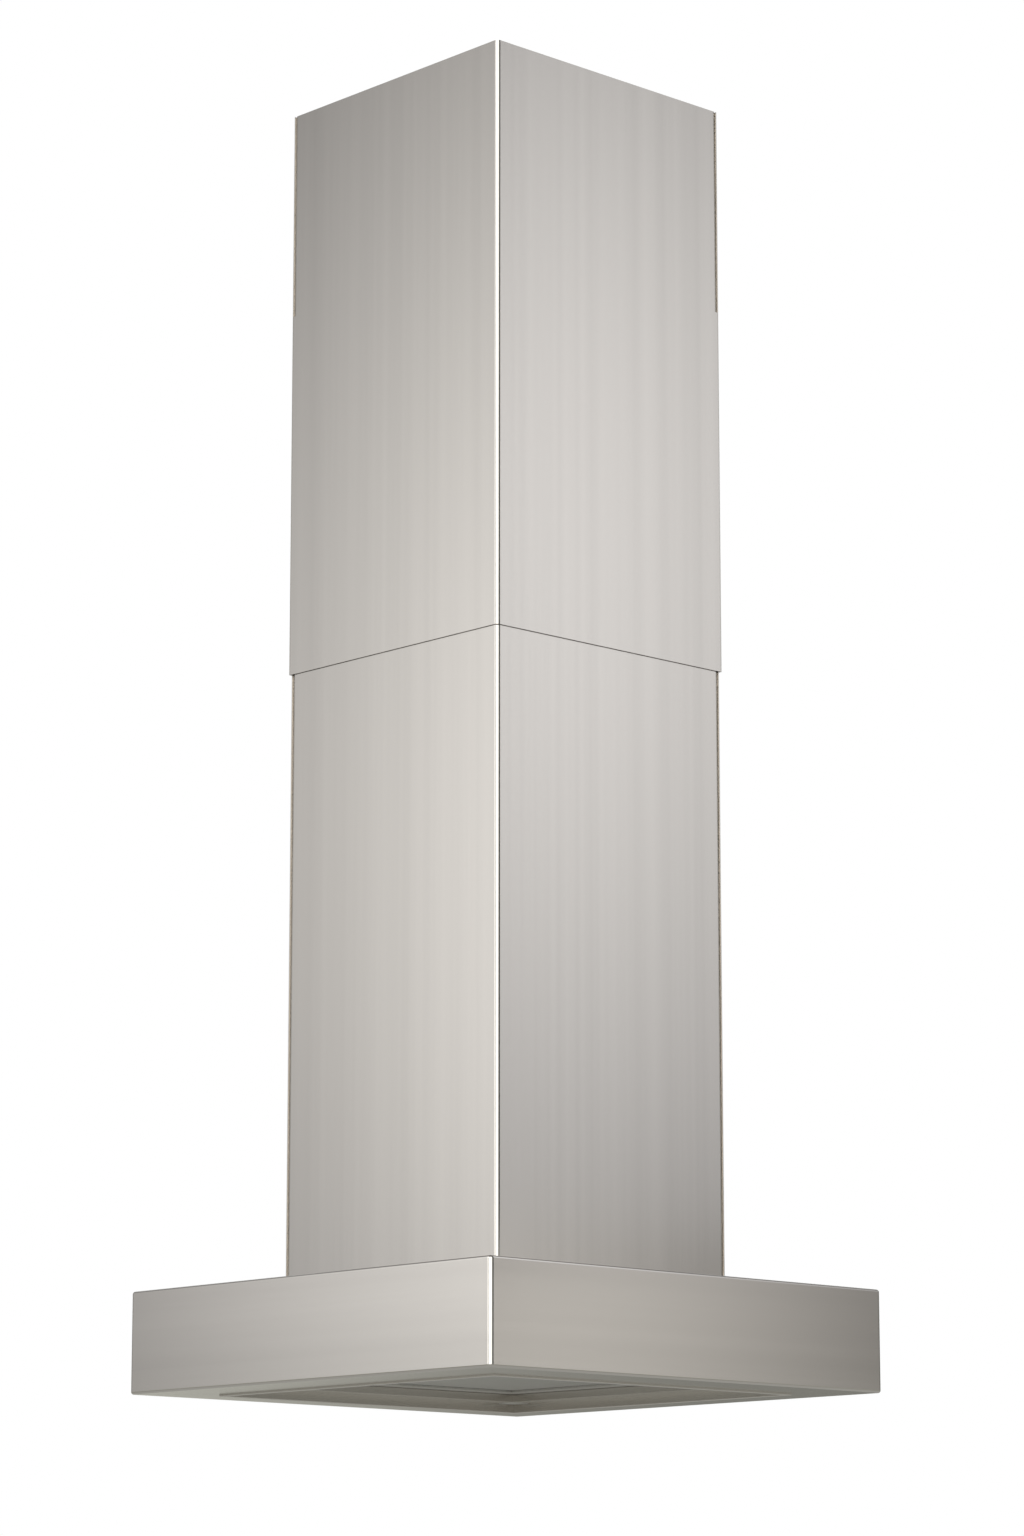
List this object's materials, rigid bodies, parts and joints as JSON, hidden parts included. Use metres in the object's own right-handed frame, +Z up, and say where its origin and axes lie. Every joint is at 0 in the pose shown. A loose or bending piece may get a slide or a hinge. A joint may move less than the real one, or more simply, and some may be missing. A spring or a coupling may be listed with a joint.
{
  "type": "island range hood",
  "caption": "Ceiling-hung island range hood: square steel canopy with hinged grease filter under a telescopic two-part square chimney cover, with blower, damper and lamps.",
  "frame": {"origin": "centre of the ceiling plate's top face, where the hood is fixed to the ceiling", "axes": "+Z up along the chimney, towards the ceiling; -Y and +X are the two plain faces, +Y is the control face"},
  "size_m": [0.6, 0.604, 1.5195],
  "materials": {
    "brushed_steel": "fine brushed stainless steel sheet, grain along the sheet",
    "canopy_steel": "brushed stainless steel, grain level round the canopy",
    "galvanised": "galvanised steel sheet, dull",
    "zinc_fastener": "zinc plated fasteners",
    "aluminium_mesh": "woven aluminium filter mesh",
    "aluminium_frame": "anodised aluminium frame",
    "black_plastic": "moulded black flame retardant plastic",
    "grey_plastic": "moulded grey plastic",
    "wheel_plastic": "moulded dark grey blower wheel",
    "motor_paint": "black enamelled motor case",
    "shaft_steel": "ground steel shaft",
    "spring_steel": "spring steel wire",
    "frosted_lens": "frosted lamp lens",
    "white_plastic": "white moulded lamp driver case",
    "circuit_board": "green circuit board",
    "button_metal": "satin chrome push-buttons",
    "capacitor_case": "white capacitor case"
  },
  "bodies": {
    "ceiling_frame": {"ceiling_plate": "galvanised", "cover_hanger": "galvanised", "upper_legs_left": "galvanised", "upper_legs_right": "galvanised", "upper_brace": "galvanised", "plate_screws": "zinc_fastener", "frame_lock_bolts": "zinc_fastener", "frame_lock_nuts": "zinc_fastener", "upper_cover_front": "brushed_steel", "upper_cover_rear": "brushed_steel", "upper_cover_screws": "zinc_fastener"},
    "lower_cover": {"lower_cover_front": "brushed_steel", "lower_cover_rear": "brushed_steel", "lower_cover_screws": "zinc_fastener"},
    "filter": {"filter_frame": "aluminium_frame", "filter_mesh": "aluminium_mesh", "filter_hinge_pins": "shaft_steel", "latch_plate": "aluminium_frame"},
    "filter_latch": {"filter_latch": "grey_plastic", "latch_springs": "spring_steel"},
    "impeller": {"impeller_wheel": "wheel_plastic", "motor_shaft": "shaft_steel"},
    "flap_front": {"damper_flap_front": "black_plastic"},
    "flap_rear": {"damper_flap_rear": "black_plastic"},
    "button_1": {"push_button_1": "button_metal"},
    "button_2": {"push_button_2": "button_metal"},
    "button_3": {"push_button_3": "button_metal"},
    "button_4": {"push_button_4": "button_metal"},
    "button_5": {"push_button_5": "button_metal"},
    "hood_body": {"lower_legs_left": "galvanised", "lower_legs_right": "galvanised", "lower_brace": "galvanised", "leg_base": "galvanised", "base_bolts": "zinc_fastener", "base_nuts": "zinc_fastener", "canopy": "canopy_steel", "inner_liner": "canopy_steel", "lamp_housings": "aluminium_frame", "lamp_lenses": "frosted_lens", "fan_box": "galvanised", "scroll_left": "black_plastic", "scroll_right": "black_plastic", "motor": "motor_paint", "motor_bracket": "galvanised", "duct_collar": "black_plastic", "damper_pin": "shaft_steel", "collar_screws": "zinc_fastener", "motor_capacitor": "capacitor_case", "capacitor_clip": "galvanised", "lamp_driver": "white_plastic", "terminal_box": "grey_plastic", "terminal_lid": "grey_plastic", "terminal_block": "white_plastic", "cable_gland": "black_plastic", "control_bezel": "canopy_steel", "control_housing": "black_plastic", "control_board": "circuit_board", "push_switches": "black_plastic"}
  },
  "joints": [
    {"name": "frame_height", "type": "slide", "parent": "ceiling_frame", "child": "hood_body", "axis": [0, 0, 1], "range_m": [-0.03, 0.15]},
    {"name": "lower_cover_lift", "type": "slide", "parent": "hood_body", "child": "lower_cover", "axis": [0, 0, 1], "range_m": [0, 0.2]},
    {"name": "filter_drop", "type": "hinge", "parent": "hood_body", "child": "filter", "pos_m": [0, 0.18, -1.496], "axis": [1, 0, 0], "range_deg": [0, 80]},
    {"name": "filter_latch_pull", "type": "slide", "parent": "filter", "child": "filter_latch", "axis": [0, 1, 0], "range_m": [0, 0.005], "stiffness_N_per_m": 400, "springref_m": -0.002, "deforming": ["latch_springs"]},
    {"name": "impeller_spin", "type": "hinge", "parent": "hood_body", "child": "impeller", "pos_m": [0, -0.018, -1.294], "axis": [1, 0, 0], "continuous": true},
    {"name": "flap_rear_swing", "type": "hinge", "parent": "hood_body", "child": "flap_rear", "pos_m": [0, 0, -1.135], "axis": [1, 0, 0], "range_deg": [0, 75]},
    {"name": "flap_front_swing", "type": "hinge", "parent": "hood_body", "child": "flap_front", "pos_m": [0, 0, -1.135], "axis": [-1, 0, 0], "range_deg": [0, 75]},
    {"name": "button_1_press", "type": "slide", "parent": "hood_body", "child": "button_1", "axis": [0, -1, 0], "range_m": [0, 0.0025], "stiffness_N_per_m": 300, "springref_m": -0.001},
    {"name": "button_2_press", "type": "slide", "parent": "hood_body", "child": "button_2", "axis": [0, -1, 0], "range_m": [0, 0.0025], "stiffness_N_per_m": 300, "springref_m": -0.001},
    {"name": "button_3_press", "type": "slide", "parent": "hood_body", "child": "button_3", "axis": [0, -1, 0], "range_m": [0, 0.0025], "stiffness_N_per_m": 300, "springref_m": -0.001},
    {"name": "button_4_press", "type": "slide", "parent": "hood_body", "child": "button_4", "axis": [0, -1, 0], "range_m": [0, 0.0025], "stiffness_N_per_m": 300, "springref_m": -0.001},
    {"name": "button_5_press", "type": "slide", "parent": "hood_body", "child": "button_5", "axis": [0, -1, 0], "range_m": [0, 0.0025], "stiffness_N_per_m": 300, "springref_m": -0.001}
  ]
}
